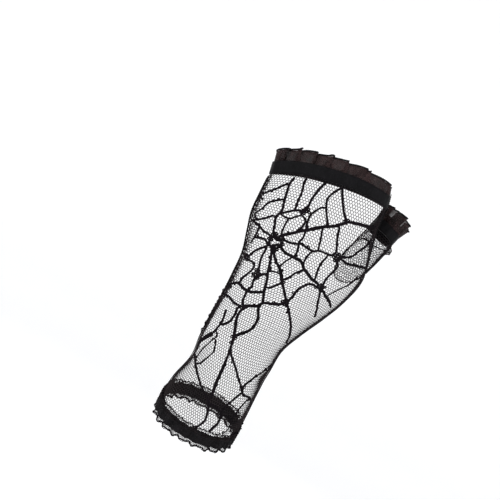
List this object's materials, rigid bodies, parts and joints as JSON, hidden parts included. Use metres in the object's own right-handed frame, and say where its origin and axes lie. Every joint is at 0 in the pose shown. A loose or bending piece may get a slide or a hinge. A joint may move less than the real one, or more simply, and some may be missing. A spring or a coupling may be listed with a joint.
{
  "type": "evening mitten",
  "caption": "Black lace evening mitten: fingerless spider-web net on a hand's form, with satin bands, sheer ruffles and a gathered wrist hem.",
  "frame": {"origin": "centre of the wrist opening, at the free edge of the wrist frill, where the hand goes in", "axes": "+Z along the hand towards the fingers, +X towards the thumb and index finger, -Y the back of the hand and +Y the palm"},
  "size_m": [0.0967, 0.0615, 0.1951],
  "materials": {
    "lace_net": "matt black hexagonal net with thicker web threads",
    "satin_band": "dense black band with a soft sheen",
    "sheer_ruffle": "sheer black chiffon with a dark rolled edge",
    "elastic_band": "puckered matt black elastic",
    "seam_thread": "matt black overlocked thread"
  },
  "bodies": {
    "root": {"lace_hand": "lace_net", "lace_thumb": "lace_net", "knuckle_band": "satin_band", "knuckle_ruffle": "sheer_ruffle", "thumb_band": "satin_band", "thumb_ruffle": "sheer_ruffle", "wrist_band": "elastic_band", "wrist_frill": "lace_net", "little_finger_seam": "seam_thread", "thumb_side_seam": "seam_thread", "index_seam": "seam_thread", "thumb_seam": "seam_thread"}
  },
  "joints": []
}
